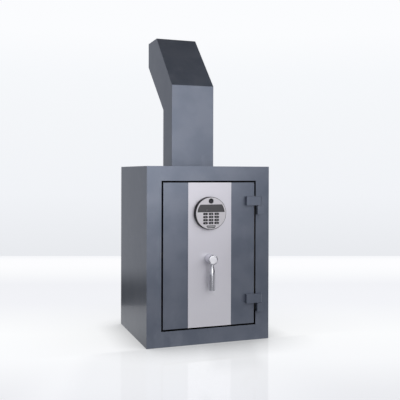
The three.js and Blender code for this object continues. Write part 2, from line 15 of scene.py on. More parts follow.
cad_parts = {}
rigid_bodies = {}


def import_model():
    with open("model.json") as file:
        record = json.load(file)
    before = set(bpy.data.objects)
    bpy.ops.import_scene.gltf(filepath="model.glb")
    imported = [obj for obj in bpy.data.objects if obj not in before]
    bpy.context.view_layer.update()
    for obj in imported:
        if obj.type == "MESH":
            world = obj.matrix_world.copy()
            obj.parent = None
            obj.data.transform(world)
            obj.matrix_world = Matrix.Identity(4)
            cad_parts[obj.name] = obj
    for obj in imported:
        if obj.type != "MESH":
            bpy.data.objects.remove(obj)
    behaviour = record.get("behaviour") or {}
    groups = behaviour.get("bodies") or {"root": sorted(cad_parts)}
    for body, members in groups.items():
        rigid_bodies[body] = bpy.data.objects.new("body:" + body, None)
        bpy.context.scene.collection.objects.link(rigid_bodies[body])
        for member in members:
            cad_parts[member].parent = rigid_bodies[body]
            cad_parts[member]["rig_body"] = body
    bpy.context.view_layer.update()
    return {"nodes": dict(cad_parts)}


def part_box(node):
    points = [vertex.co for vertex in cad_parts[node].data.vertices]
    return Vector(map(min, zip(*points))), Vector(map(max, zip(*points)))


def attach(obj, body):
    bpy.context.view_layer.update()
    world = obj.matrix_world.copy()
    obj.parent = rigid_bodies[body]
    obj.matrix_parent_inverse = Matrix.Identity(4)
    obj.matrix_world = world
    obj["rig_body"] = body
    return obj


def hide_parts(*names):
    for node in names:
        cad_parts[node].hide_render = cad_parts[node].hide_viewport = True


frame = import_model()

MM = 0.001

# %% [markdown]
# A finish is a small network of shader nodes. Wired by hand, such networks are hard to read, so a
# class wraps an output socket and overloads the arithmetic operators: a sum of masks in Python
# becomes the Math nodes that add them. Every other node comes from one method, which sets the
# node's own settings first and then its sockets.

# %% A socket that takes part in arithmetic
class Signal:
    def __init__(self, finish, socket):
        self.finish = finish
        self.socket = socket

    def math(self, operation, first, second):
        return self.finish.node("ShaderNodeMath", {"operation": operation}, {0: first, 1: second})

    def __add__(self, other):
        return self.math("ADD", self, other)

    def __radd__(self, other):
        return self.math("ADD", other, self)

    def __sub__(self, other):
        return self.math("SUBTRACT", self, other)

    def __rsub__(self, other):
        return self.math("SUBTRACT", other, self)

    def __mul__(self, other):
        return self.math("MULTIPLY", self, other)

    def __rmul__(self, other):
        return self.math("MULTIPLY", other, self)


# %% [markdown]
# Colours are written as they would be picked off a screen, three numbers from 0 to 255, because a
# paint maker's chart is read that way. The renderer works in linear light, so each is converted
# once, in Python.

# %% Colours in linear light
def tone(red, green, blue):
    channels = [value / 255 for value in (red, green, blue)]
    linear = [c / 12.92 if c <= 0.04045 else ((c + 0.055) / 1.055) ** 2.4 for c in channels]
    return (*linear, 1.0)


# %% [markdown]
# A finish holds one material, the slot of the record that it belongs to, and the method that adds
# nodes. Positions are read in object coordinates. Every piece has its origin at the model's own
# origin, so they are metres in the model's frame, and a pattern stays put when a door swings.

# %% A finish and its nodes
class Finish:
    def __init__(self, name, slot=None):
        self.slot = slot
        self.material = bpy.data.materials.new(name)
        self.material.use_nodes = True
        self.tree = self.material.node_tree
        self.tree.nodes.clear()
        self.output = self.tree.nodes.new("ShaderNodeOutputMaterial")

    def feed(self, socket, value):
        if isinstance(value, Signal):
            self.tree.links.new(value.socket, socket)
        else:
            socket.default_value = value

    def node(self, kind, settings=None, sockets=None, output=0):
        made = self.tree.nodes.new(kind)
        for name, value in (settings or {}).items():
            if name == "stops":
                set_stops(made.color_ramp, value)
            else:
                setattr(made, name, value)
        for key, value in (sockets or {}).items():
            self.feed(made.inputs[key], value)
        return Signal(self, made.outputs[output])

    def position(self, scale=(1, 1, 1), turn=(0, 0, 0)):
        place = self.node("ShaderNodeTexCoord", output="Object")
        return self.node("ShaderNodeMapping", {"vector_type": "POINT"},
                         {"Vector": place, "Rotation": turn, "Scale": scale})

    def coordinate(self, axis):
        place = self.node("ShaderNodeTexCoord", output="Object")
        return self.node("ShaderNodeSeparateXYZ", {}, {"Vector": place}, output=axis)

    def ray(self, kind):
        return self.node("ShaderNodeLightPath", output=f"Is {kind} Ray")

    def noise(self, scale, detail=3.0, roughness=0.5, stretch=(1, 1, 1), turn=(0, 0, 0)):
        return self.node("ShaderNodeTexNoise", {"noise_dimensions": "3D"},
                         {"Vector": self.position(stretch, turn), "Scale": scale,
                          "Detail": detail, "Roughness": roughness})

    def between(self, value, low, high, start=0.0, end=1.0):
        return self.node("ShaderNodeMapRange", {"interpolation_type": "SMOOTHSTEP"},
                         {"Value": value, "From Min": low, "From Max": high,
                          "To Min": start, "To Max": end})

    def blend(self, factor, first, second):
        return self.node("ShaderNodeMix", {"data_type": "RGBA"},
                         {0: factor, 6: first, 7: second}, output=2)

    def dimmed(self, colour, share):
        return self.node("ShaderNodeVectorMath", {"operation": "SCALE"}, {0: colour, "Scale": share})

    def bump(self, height, strength, depth):
        return self.node("ShaderNodeBump", {},
                         {"Height": height, "Strength": strength, "Distance": depth})

    def worn_as(self, shader):
        self.feed(self.output.inputs["Surface"], shader)
        return self

    def surface(self, **sockets):
        names = {key.replace("_", " "): value for key, value in sockets.items()}
        return self.worn_as(self.node("ShaderNodeBsdfPrincipled", {}, names))


def set_stops(ramp, stops):
    while len(ramp.elements) > 1:
        ramp.elements.remove(ramp.elements[-1])
    ramp.elements[0].position = stops[0][0]
    ramp.elements[0].color = stops[0][1]
    for place, colour in stops[1:]:
        ramp.elements.new(place).color = colour


# %% [markdown]
# The cabinet is sprayed with a satin metallic enamel. The flakes in it make it shine like a soft
# mirror and fall dark where it faces a dark ceiling. Up close the coat has a fine orange peel, a
# slow cloudiness where the gun passed twice, and a few paler rub marks.

# %% Grey enamel
def grey_enamel():
    enamel = Finish("grey_enamel", "body_paint")
    clouds = enamel.between(enamel.noise(11.0, 4.0, 0.5), 0.34, 0.66)
    rubs = enamel.noise(9.0, 5.0, 0.62, stretch=(1.6, 1.0, 0.7), turn=(0, math.radians(35), 0))
    peel = enamel.noise(900.0, 2.0, 0.5)
    fine = enamel.noise(60.0, 4.0, 0.6)
    rub_mask = enamel.between(rubs, 0.56, 0.74)
    ground = enamel.blend(clouds, tone(111, 118, 133), tone(121, 127, 141))
    worn = enamel.blend(rub_mask * 0.35, ground, tone(140, 145, 158))
    gloss = 0.32 + fine * 0.06 + rub_mask * 0.05 + clouds * 0.02
    return enamel.surface(
        Base_Color=worn, Metallic=0.5, Roughness=gloss, Specular_IOR_Level=0.1,
        Coat_Weight=0.28, Coat_Roughness=0.13,
        Normal=enamel.bump(peel, 0.08, 0.2 * MM))


# %% [markdown]
# The walls of the narrow gap round the door are painted a matt near-black in place of the enamel,
# a painted shade that draws the gap as such a crisp dark line.

# %% Painted shade for the door gap
# Painted shade: a matt near-black colour for the faces inside the door gap.
def painted_gap_shade():
    gap_shade = Finish("painted_gap_shade", "body_paint")
    dust = gap_shade.noise(120.0, 4.0, 0.6)
    return gap_shade.surface(
        Base_Color=gap_shade.blend(dust, tone(5, 5, 7), tone(9, 9, 11)), Metallic=0.0,
        Roughness=0.7 + dust * 0.15, Specular_IOR_Level=0.1, Normal=gap_shade.bump(dust, 0.1, 0.1 * MM))


# %% [markdown]
# The centre strip is a satin stainless sheet, brushed along its length. Grain is noise stretched a
# hundredfold up the plate. It shifts the roughness and stands up as a very shallow bump, so the
# highlight smears sideways the way it does on real brushed sheet. Towards its foot the strip is
# painted a touch paler, a painted light on its lower end.

# %% Brushed strip
def brushed_steel():
    strip = Finish("brushed_strip", "trim_steel")
    grain = strip.noise(1400.0, 2.0, 0.6, stretch=(1, 1, 0.01))
    broad = strip.noise(4.0, 2.0, 0.5)
    # Painted light: towards its foot the strip's colour is blended paler.
    foot = strip.between(strip.coordinate("Z"), 0.3, 0.1)
    warm = strip.blend(broad, tone(221, 219, 228), tone(228, 225, 231))
    foot_with_painted_light = strip.blend(foot, warm, tone(238, 236, 243))
    brushed = strip.blend(grain * 0.22, foot_with_painted_light, tone(204, 203, 214))
    return strip.surface(
        Base_Color=brushed, Metallic=0.55, Roughness=0.4 + grain * 0.12,
        Normal=strip.bump(grain, 0.12, 0.05 * MM))


# %% [markdown]
# The handle is turned steel under bright chrome. Chrome is almost a mirror. What keeps it from
# looking like a computer's mirror is the haze of fine wiping marks, which a little noise in the
# roughness gives.

# %% Bright chrome
def bright_chrome():
    chrome = Finish("bright_chrome", "bright_chrome")
    wipes = chrome.noise(60.0, 3.0, 0.5, stretch=(1, 1, 0.4))
    haze = chrome.between(wipes, 0.45, 0.75)
    plated = chrome.blend(haze * 0.3, tone(200, 200, 206), tone(188, 189, 196))
    return chrome.surface(
        Base_Color=plated, Metallic=1.0, Roughness=0.15 + haze * 0.04,
        Normal=chrome.bump(wipes, 0.02, 0.02 * MM))


# %% [markdown]
# The cap in the end of the handle is left satin from the lathe, with faint rings about its middle,
# so it spreads the light that the chrome round it mirrors sharply. The rings are a wave along the
# distance from the handle's axis, with one ring to every 0.7 mm.

# %% Satin cap
RING_WAVE = 9000.0  # radians to the metre


def satin_cap(axis_x, axis_z):
    cap = Finish("satin_cap", "bright_chrome")
    x = cap.coordinate("X") - axis_x
    z = cap.coordinate("Z") - axis_z
    distance = cap.node("ShaderNodeMath", {"operation": "SQRT"}, {0: x * x + z * z})
    rings = cap.node("ShaderNodeMath", {"operation": "SINE"}, {0: distance * RING_WAVE})
    haze = cap.noise(50.0, 3.0, 0.5)
    return cap.surface(
        Base_Color=cap.blend(haze, tone(240, 239, 245), tone(247, 246, 250)), Metallic=1.0,
        Roughness=0.44 + rings * 0.03, Normal=cap.bump(rings, 0.05, 0.01 * MM))


# %% [markdown]
# Bolts, pins and guides inside are plain machined steel with a film of oil, a little browner where
# it has been handled. Fine turning marks break up its shine.

# %% Machined steel
def machined_steel():
    steel = Finish("machined_steel", "bare_steel")
    mottle = steel.noise(28.0, 5.0, 0.6)
    marks = steel.noise(700.0, 2.0, 0.5, stretch=(0.08, 1, 1))
    oiled = steel.blend(mottle, tone(150, 150, 150), tone(176, 173, 168))
    return steel.surface(
        Base_Color=oiled, Metallic=0.9, Roughness=0.28 + mottle * 0.16 + marks * 0.05,
        Normal=steel.bump(marks, 0.1, 0.06 * MM))


# %% [markdown]
# The keypad's housing is moulded in black with a spark-eroded texture, its front is sprayed silver,
# the keys are black silicone and the display is smoked acrylic. They differ in how fine the grain
# is and how much of it shows, so one function makes them all from those values.

# %% Moulded plastics
def moulded(name, slot, light, dark, roughness, grain_scale, grain_depth, metallic=0.0, shine=0.5):
    plastic = Finish(name, slot)
    grain = plastic.noise(grain_scale, 3.0, 0.55)
    patches = plastic.noise(45.0, 4.0, 0.6)
    colour = plastic.blend(patches, dark, light)
    return plastic.surface(
        Base_Color=colour, Metallic=metallic, Roughness=roughness + patches * 0.08,
        Specular_IOR_Level=shine, Normal=plastic.bump(grain, 0.25, grain_depth))


paint = grey_enamel()
gap_shade = painted_gap_shade()
strip_steel = brushed_steel()
chrome = bright_chrome()
steel = machined_steel()
housing_black = moulded("housing_black", "dark_plastic", tone(64, 63, 68), tone(52, 52, 56),
                        roughness=0.55, grain_scale=1600.0, grain_depth=0.04 * MM, shine=0.25)
housing_silver = moulded("housing_silver", "silver_plastic", tone(226, 222, 227), tone(214, 211, 217),
                         roughness=0.36, grain_scale=2200.0, grain_depth=0.02 * MM, metallic=0.3)
smoked_window = moulded("smoked_window", "display_plastic", tone(84, 82, 85), tone(74, 73, 77),
                        roughness=0.22, grain_scale=900.0, grain_depth=0.01 * MM)
key_silicone = moulded("key_silicone", "key_rubber", tone(50, 49, 53), tone(38, 38, 42),
                       roughness=0.55, grain_scale=1800.0, grain_depth=0.04 * MM)
lead_jacket = moulded("lead_jacket", "lead_sheath", tone(40, 40, 42), tone(28, 28, 30),
                      roughness=0.5, grain_scale=900.0, grain_depth=0.05 * MM)
key_ink = moulded("key_ink", "silver_plastic", tone(205, 205, 208), tone(182, 182, 186),
                  roughness=0.5, grain_scale=2500.0, grain_depth=0.005 * MM)
print("materials so far, the frame's own among them:", len(bpy.data.materials))

# %% [markdown]
# Every piece ends the same way: its bmesh becomes a mesh object, smooth across shallow angles and
# sharp across steep ones, which wears a finish, rides on a body and stands for the CAD nodes that
# it was made from. A weighted normal keeps broad plates flat beside their rounded edges.

# %% From bmesh to piece
SMOOTH_UNDER = math.radians(40)


def add_piece(name, bm, finish, body, nodes=()):
    mesh = bpy.data.meshes.new(name)
    bmesh.ops.recalc_face_normals(bm, faces=bm.faces)
    bm.to_mesh(mesh)
    bm.free()
    mesh.materials.append(finish.material)
    mesh.shade_smooth()
    mesh.set_sharp_from_angle(angle=SMOOTH_UNDER)
    piece = bpy.data.objects.new(name, mesh)
    bpy.context.scene.collection.objects.link(piece)
    flats = piece.modifiers.new("flat_faces", "WEIGHTED_NORMAL")
    flats.keep_sharp = True
    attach(piece, body)
    if nodes:
        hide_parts(*nodes)
    return piece


# %% [markdown]
# Cut plate never has a perfectly sharp edge: it is broken with a file, and paint rounds it further.
# That small radius is what draws a fine light line along every edge of the safe. So each plate is
# taken from the frame as it is, its triangles are merged back into whole faces, and its real edges
# are rounded.

# %% Plates with broken edges
REAL_EDGE = math.radians(32)


def welded_copy(node):
    bm = bmesh.new()
    bm.from_mesh(frame["nodes"][node].data)
    bmesh.ops.remove_doubles(bm, verts=bm.verts, dist=0.002 * MM)
    bmesh.ops.dissolve_limit(bm, angle_limit=math.radians(0.5), verts=bm.verts, edges=bm.edges)
    return bm


def break_edges(bm, radius, segments=2):
    edges = [edge for edge in bm.edges
             if len(edge.link_faces) == 2 and edge.calc_face_angle() > REAL_EDGE]
    bmesh.ops.bevel(bm, geom=edges, offset=radius, offset_type="OFFSET", affect="EDGES",
                    segments=segments, profile=0.5, clamp_overlap=True)
    return bm


def body_of(node):
    return frame["nodes"][node]["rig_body"]


def finished(node, finish, radius):
    bm = break_edges(welded_copy(node), radius)
    return add_piece(f"{node}_finished", bm, finish, body_of(node), [node])


# %% [markdown]
# The cabinet's panels are welded, ground flush and painted, so no seam shows at its corners. Laid
# side by side the six plates would show one, so they are first united into a single shell, and only
# then are the outer edges rounded. The neck is welded and ground in the same way.

# %% Welded shells
def united(name, nodes):
    parts = bpy.data.collections.new(f"{name}_parts")
    objects = []
    for node in nodes:
        bm = welded_copy(node)
        mesh = bpy.data.meshes.new(f"{name}_{node}")
        bm.to_mesh(mesh)
        bm.free()
        objects.append(bpy.data.objects.new(f"{name}_{node}", mesh))
    bpy.context.scene.collection.objects.link(objects[0])
    for part in objects[1:]:
        parts.objects.link(part)
    bpy.context.scene.collection.children.link(parts)
    join = objects[0].modifiers.new("weld", "BOOLEAN")
    join.operation = "UNION"
    join.solver = "EXACT"
    join.operand_type = "COLLECTION"
    join.collection = parts
    ready = objects[0].evaluated_get(bpy.context.evaluated_depsgraph_get())
    bm = bmesh.new()
    bm.from_mesh(ready.to_mesh())
    for part in objects:
        bpy.data.objects.remove(part)
    bpy.data.collections.remove(parts)
    bmesh.ops.remove_doubles(bm, verts=bm.verts, dist=0.01 * MM)
    bmesh.ops.dissolve_limit(bm, angle_limit=math.radians(0.5), verts=bm.verts, edges=bm.edges)
    return bm


CABINET_NODES = ["front_frame", "left_side_panel", "right_side_panel", "rear_panel",
                 "top_panel", "bottom_panel"]
NECK_NODES = ["neck_left_side", "neck_right_side", "neck_front_panel", "neck_rear_panel"]
edge_round = 1.6 * MM
neck_round = 1.1 * MM
cabinet_steel = break_edges(united("cabinet", CABINET_NODES), edge_round, segments=3)
cabinet_shell = add_piece("cabinet_shell", cabinet_steel, paint, "cabinet", CABINET_NODES)
neck_steel = break_edges(united("neck", NECK_NODES), neck_round, segments=3)
neck_shell = add_piece("neck_shell", neck_steel, paint, "cabinet", NECK_NODES)
print("cabinet shell faces:", len(cabinet_shell.data.polygons))
print("neck shell faces:", len(neck_shell.data.polygons))

# %% [markdown]
# The walls of the doorway and the edges of the door leaf face each other across the gap. Their
# faces are picked out by where they lie and which way they look, and take the painted gap shade.

# %% Painted shade in the door gap
leaf_low, leaf_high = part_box("door_plate")
gap_reach = 8 * MM
gap_shade_depth = 12 * MM
squarely = 0.95
front_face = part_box("front_frame")[0].y


# Painted shade: gap faces near the front get the near-black second material.
def paint_gap_shade(piece):
    piece.data.materials.append(gap_shade.material)
    shaded_faces = 0
    for face in piece.data.polygons:
        spot = face.center
        upright = abs(face.normal.x) > squarely
        level = abs(face.normal.z) > squarely and abs(spot.x) < leaf_high.x + gap_reach
        beside = abs(abs(spot.x) - leaf_high.x) < gap_reach
        above_or_below = min(abs(spot.z - leaf_high.z), abs(spot.z - leaf_low.z)) < gap_reach
        near_front = spot.y < front_face + gap_shade_depth
        if near_front and (beside and upright or above_or_below and level):
            face.material_index = 1
            shaded_faces += 1
    print(f"{piece.name}: {shaded_faces} faces in primer")


paint_gap_shade(cabinet_shell)

# %% [markdown]
# The other painted plates keep their own edges, because they are bolted, hinged or set apart by a
# gap: the door leaf, the pan behind it and its cover, the stops, the hinge straps and knuckles, the
# collar under the neck and the flap in its mouth. Each is listed with its edge radius in
# millimetres. The knuckles, sawn from solid bar, are rounded most. The stops lie at the bottom of
# the gap and are painted near-black, the same painted shade as the gap's walls.

# %% Painted plates
PAINTED = {
    "door_plate": 1.4, "door_pan": 1.0, "door_cover": 0.8, "door_stop_top": 0.8,
    "door_stop_bottom": 0.8, "hinge_strap_upper": 1.2, "hinge_strap_lower": 1.2,
    "hinge_knuckle_upper": 2.4, "hinge_knuckle_lower": 2.4, "neck_collar": 0.8, "deposit_flap": 0.6,
}
painted = {node: finished(node, paint, radius * MM) for node, radius in PAINTED.items()}
paint_gap_shade(painted["door_plate"])
# Painted shade: the stops wear the near-black gap colour.
for stop in ("door_stop_top", "door_stop_bottom"):
    painted[stop].data.materials[0] = gap_shade.material
print("painted plates:", len(painted))

# %% [markdown]
# What locks the door is left bare: carrier, guides, lock, the hardened plate, the fixed bar and the
# hinge pins, and so are the toothed plates in the neck. Most of it hides, and the pieces at the
# door's edge come into view when it stands open. The strip is in the same list, and is the only one
# that is brushed.

# %% Bare steel pieces
BARE = {
    "trim_plate": 0.35, "bolt_strike": 0.8, "hinge_pin_upper": 0.5, "hinge_pin_lower": 0.5,
    "baffle_front": 0.5, "baffle_rear": 0.5, "flap_pin": 0.4, "hinge_side_bar": 1.0,
    "bolt_carrier": 0.6, "carrier_guide_upper": 0.4, "carrier_guide_lower": 0.4, "hard_plate": 0.5,
    "lock_body": 1.0, "lock_bolt": 0.6, "handle_spindle": 0.4, "handle_cam": 0.5,
}
for node, radius in BARE.items():
    finished(node, strip_steel if node == "trim_plate" else steel, radius * MM)
print("bare steel pieces:", len(BARE))

# %% [markdown]
# Round pieces are turned on a lathe, so they are made as one here: a profile of radius against
# length, spun about its axis. The profile's corners are rounded with short arcs, which give the
# bright rings that a turned edge shows.

# %% A lathe
TURN_STEPS = 96


def arc(centre, radius, start, end, steps=6):
    """Points of a round corner, as (length, radius) pairs. Angles are in degrees."""
    points = []
    for step in range(steps + 1):
        angle = math.radians(start + (end - start) * step / steps)
        points.append((centre[0] + radius * math.cos(angle), centre[1] + radius * math.sin(angle)))
    return points


def turned(profile, origin, along, steps=TURN_STEPS):
    """Spins (length, radius) points about the line through origin along a direction."""
    along = Vector(along).normalized()
    side = along.orthogonal().normalized()
    bm = bmesh.new()
    verts = [bm.verts.new(Vector(origin) + along * length + side * radius)
             for length, radius in profile]
    edges = [bm.edges.new(pair) for pair in zip(verts, verts[1:])]
    bmesh.ops.spin(bm, geom=verts + edges, cent=origin, axis=along, angle=2 * math.pi,
                   steps=steps, use_merge=True)
    bmesh.ops.remove_doubles(bm, verts=bm.verts, dist=0.0005 * MM)
    return bm


# %% [markdown]
# The handle is a thick hub on the spindle with a drop lever under it. The hub is a plain turned
# cylinder with a rounded rim. In its front is a shallow recess, and the flat satin cap stands in that
# and comes out flush.

# %% Handle hub and cap
hub_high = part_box("handle_hub")[1]
cap_low, cap_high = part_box("handle_cap")
handle_x = (cap_low.x + cap_high.x) / 2
handle_z = (cap_low.z + cap_high.z) / 2
hub_radius = hub_high.x - handle_x
hub_back = hub_high.y
hub_front = cap_low.y
hub_depth = hub_back - hub_front
hub_rim = 3.5 * MM
cap_radius = (cap_high.x - cap_low.x) / 2
hub_axis = (0, -1, 0)
hub_origin = (handle_x, hub_back, handle_z)
seat_step = 0.6 * MM
mouth_depth = 0.5 * MM
mouth_flare = 0.15 * MM
recess = hub_depth - 0.9 * MM
hub_profile = [(0, 0), (0, hub_radius - seat_step)]
hub_profile += arc((seat_step, hub_radius - seat_step), seat_step, 180, 90, 3)
hub_profile += arc((hub_depth - hub_rim, hub_radius - hub_rim), hub_rim, 90, 8, 8)
hub_profile += [(hub_depth - mouth_depth, cap_radius + mouth_flare), (recess, cap_radius), (recess, 0)]
add_piece("handle_hub_turned", turned(hub_profile, hub_origin, hub_axis), chrome, "handle",
          ["handle_hub"])

cap_edge = 0.5 * MM
cap_side = cap_radius - 0.1 * MM
cap_back = hub_depth - 1.6 * MM
cap_profile = [(cap_back, 0), (cap_back, cap_side)]
cap_profile += arc((hub_depth - cap_edge, cap_side - cap_edge), cap_edge, 90, 0, 5)
cap_profile += [(hub_depth, 0)]
add_piece("handle_cap_turned", turned(cap_profile, hub_origin, hub_axis), satin_cap(handle_x, handle_z),
          "handle", ["handle_cap"])
print(f"hub {hub_radius * 2000:.1f} mm across, {hub_depth * 1000:.1f} mm deep")

# %% [markdown]
# The lever starts slim, swells over its first half and then runs straight to a flat end, a shape that
# is easy to turn and easy to hold. The swell follows a smooth step, level at both ends, so that it
# meets the slim neck and the straight grip without a crease.

# %% Handle lever
lever_low, lever_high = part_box("handle_lever")
lever_radius = (lever_high.x - lever_low.x) / 2
lever_y = (lever_high.y + lever_low.y) / 2
lever_top = lever_high.z
lever_length = lever_top - lever_low.z
neck_radius = 6.6 * MM
swell_start = 10 * MM
swell_end = 46 * MM
tip_round = 1.2 * MM
swell_steps = 16
lever_profile = [(0, 0), (0, neck_radius), (swell_start, neck_radius)]
for step in range(1, swell_steps + 1):
    share = step / swell_steps
    ease = share * share * (3 - 2 * share)
    lever_profile.append((swell_start + (swell_end - swell_start) * share,
                          neck_radius + (lever_radius - neck_radius) * ease))
lever_profile += arc((lever_length - tip_round, lever_radius - tip_round), tip_round, 90, 0, 5)
lever_profile += [(lever_length, 0)]
add_piece("handle_lever_turned", turned(lever_profile, (handle_x, lever_y, lever_top), (0, 0, -1)),
          chrome, "handle", ["handle_lever"])
print(f"lever {lever_length * 1000:.0f} mm long, {lever_radius * 2000:.1f} mm thick")

# %% [markdown]
# The three locking bolts are ground bar with a chamfer at the end that enters the strike, so that
# they find their holes when the door is not quite home.

# %% Locking bolts
bolt_chamfer = 1.5 * MM
for node in ("locking_bolt_upper", "locking_bolt_middle", "locking_bolt_lower"):
    low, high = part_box(node)
    radius = (high.z - low.z) / 2
    length = high.x - low.x
    middle = ((low.y + high.y) / 2, (low.z + high.z) / 2)
    profile = [(0, 0), (0, radius - bolt_chamfer), (bolt_chamfer, radius), (length, radius), (length, 0)]
    bolt = turned(profile, (low.x, *middle), (1, 0, 0), steps=64)
    add_piece(f"{node}_turned", bolt, steel, "boltwork", [node])
    print(f"{node} {radius * 2000:.0f} mm thick, {length * 1000:.0f} mm long")

# %% [markdown]
# The keypad's front is a set of thin flat shapes: a disc with windows in it, the display, the keys
# and a small plain badge. Drawn as closed outlines on a flat curve, Blender fills them, leaves the
# inner ones open, and rounds their edges with the curve's own bevel. So each is an outline, a
# thickness and an edge radius. The corners of an outline are the lathe's arcs.

# %% Flat shapes from outlines
STAND_UP = Matrix.Rotation(math.radians(90), 4, "X")


def circle_outline(x, z, radius, steps=96):
    return arc((x, z), radius, 0, 360, steps)[:-1]


def rounded_outline(x, z, width, height, radius, steps=6, foot_width=None):
    """A rectangle with round corners, or a trapezoid where its foot is another width."""
    foot_width = foot_width or width
    corners = [(x + width / 2, z + height / 2, 90, 0), (x + foot_width / 2, z - height / 2, 0, -90),
               (x - foot_width / 2, z - height / 2, -90, -180), (x - width / 2, z + height / 2, 180, 90)]
    points = []
    for corner_x, corner_z, start, end in corners:
        centre_x = corner_x - math.copysign(radius, corner_x - x)
        centre_z = corner_z - math.copysign(radius, corner_z - z)
        points += arc((centre_x, centre_z), radius, start, end, steps)
    return points


def solid_of(curve):
    drawn = bpy.data.objects.new(curve.name, curve)
    bpy.context.scene.collection.objects.link(drawn)
    ready = drawn.evaluated_get(bpy.context.evaluated_depsgraph_get())
    bm = bmesh.new()
    bm.from_mesh(ready.to_mesh())
    bpy.data.objects.remove(drawn)
    bpy.data.curves.remove(curve)
    return bm


def flat_shape(outlines, front, back, edge):
    """A plate in the XZ plane between two depths, whose outlines' edges are rounded."""
    curve = bpy.data.curves.new("outline", "CURVE")
    curve.dimensions = "2D"
    curve.fill_mode = "BOTH"
    for outline in outlines:
        spline = curve.splines.new("POLY")
        spline.points.add(len(outline) - 1)
        for point, (x, z) in zip(spline.points, outline):
            point.co = (x, z, 0, 1)
        spline.use_cyclic_u = True
    curve.extrude = (back - front) / 2 - edge
    curve.bevel_depth = edge
    curve.bevel_resolution = 2
    curve.offset = -edge
    bm = solid_of(curve)
    place = Matrix.Translation((0, (front + back) / 2, 0)) @ STAND_UP
    bmesh.ops.transform(bm, matrix=place, verts=bm.verts)
    bmesh.ops.remove_doubles(bm, verts=bm.verts, dist=0.001 * MM)
    return bm


# %% [markdown]
# The housing is a round black moulding that stands off the plate, so it is turned, with a small
# round at its front edge.

# %% Keypad housing
base_low, base_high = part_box("keypad_base")
face_low, face_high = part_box("keypad_face")
pad_x = (face_low.x + face_high.x) / 2
pad_z = (face_low.z + face_high.z) / 2
base_radius = (base_high.x - base_low.x) / 2
base_depth = base_high.y - base_low.y
base_round = 0.7 * MM
base_profile = [(0, 0), (0, base_radius)]
base_profile += arc((base_depth - base_round, base_radius - base_round), base_round, 90, 0, 6)
base_profile += [(base_depth, 0)]
base = turned(base_profile, (pad_x, base_high.y, pad_z), (0, -1, 0), steps=128)
add_piece("keypad_base_turned", base, housing_black, "door", ["keypad_base"])
print(f"keypad {base_radius * 2000:.0f} mm across, {base_depth * 1000:.1f} mm deep")

# %% [markdown]
# What sits in the keypad's front is drawn as outlines: keys with round ends, and a display that is
# level above and below and follows the housing's round at its ends. Each outline can be drawn a
# little larger, which gives the opening that the piece stands in.

# %% Outlines of keys and display
window_low, window_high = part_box("display_window")
KEY_NODES = [node for node in frame["nodes"] if node.startswith("key_") and node != "key_reader"]
key_roundness = 0.42


def key_size(node):
    low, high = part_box(node)
    return (low.x + high.x) / 2, (low.z + high.z) / 2, high.x - low.x, high.z - low.z


def key_outline(node, spread=0.0):
    x, z, width, height = key_size(node)
    return rounded_outline(x, z, width + 2 * spread, height + 2 * spread,
                           key_roundness * height + spread)


def window_outline(spread=0.0, steps=18):
    radius = math.hypot((window_high.x - window_low.x) / 2, window_low.z - pad_z) + spread
    foot = window_low.z - pad_z - spread
    head = window_high.z - pad_z + spread
    start = math.asin(foot / radius)
    end = math.asin(head / radius)
    right = [start + (end - start) * step / steps for step in range(steps + 1)]
    turns = right + [math.pi - angle for angle in reversed(right)]
    return [(pad_x + radius * math.cos(angle), pad_z + radius * math.sin(angle)) for angle in turns]


print("keys:", [node.removeprefix("key_") for node in KEY_NODES])

# %% [markdown]
# The silver front is a disc with a rounded rim, a little smaller than the housing, so a thin dark
# line is left around it. Every opening in it is wider than its piece by the same narrow gap, and
# there the housing shows as a dark line too.

# %% Silver front
reader_low, reader_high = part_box("key_reader")
reader_x = (reader_low.x + reader_high.x) / 2
reader_z = (reader_low.z + reader_high.z) / 2
reader_radius = (reader_high.x - reader_low.x) / 2
face_radius = (face_high.x - face_low.x) / 2
slot_gap = 0.35 * MM
front_outlines = [circle_outline(pad_x, pad_z, face_radius), window_outline(slot_gap),
                  circle_outline(reader_x, reader_z, reader_radius + slot_gap, 48)]
front_outlines += [key_outline(node, slot_gap) for node in KEY_NODES]
add_piece("keypad_front", flat_shape(front_outlines, face_low.y, face_high.y, edge=0.5 * MM),
          housing_silver, "door", ["keypad_face"])
print(f"front {face_radius * 2000:.0f} mm across with {len(front_outlines) - 1} openings")

# %% [markdown]
# The display is a smoked window a little below the silver front, with a dark gasket round it. Above
# it sits the reader for an electronic key: a dark dish that a fingertip-sized tag is pressed into.

# %% Display and reader
pane = flat_shape([window_outline()], window_low.y, window_high.y, edge=0.2 * MM)
add_piece("display_pane", pane, smoked_window, "door", ["display_window"])
gasket_width = 1.1 * MM
gasket_lip = 0.2 * MM
gasket_front = face_low.y - 0.15 * MM
gasket_outlines = [window_outline(gasket_width), window_outline(-gasket_lip)]
gasket = flat_shape(gasket_outlines, gasket_front, window_low.y, edge=0.1 * MM)
add_piece("display_gasket", gasket, housing_black, "door")
reader_depth = reader_high.y - reader_low.y
dish_depth = reader_depth - 0.4 * MM
dish_radius = reader_radius - 1.6 * MM
dish_steps = 8
reader_round = 0.7 * MM
reader_profile = [(0, 0), (0, reader_radius)]
reader_profile += arc((reader_depth - reader_round, reader_radius - reader_round), reader_round, 90, 0, 4)
for step in range(dish_steps + 1):
    angle = math.pi / 2 * step / dish_steps
    reader_profile.append((reader_depth - dish_depth * math.sin(angle), dish_radius * math.cos(angle)))
dish = turned(reader_profile, (reader_x, reader_high.y, reader_z), (0, -1, 0), steps=64)
add_piece("key_reader_dish", dish, housing_black, "door", ["key_reader"])
print(f"reader {reader_radius * 2000:.1f} mm across, its dish {dish_depth * 1000:.1f} mm deep")

# %% [markdown]
# Each key is its own silicone cap with round ends, and carries one plain character in pale ink.
# The character is cut from Blender's own font as a very thin solid, so it is real geometry that
# moves down with the key.

# %% Keys and their characters
CHARACTERS = {"key_star": "*", "key_hash": "#"}
INK_DEPTH = 0.06 * MM
INK_SPREAD = 0.1 * MM
CHARACTER_HEIGHT = 4.6 * MM
SIZE_TO_HEIGHT = 1.35


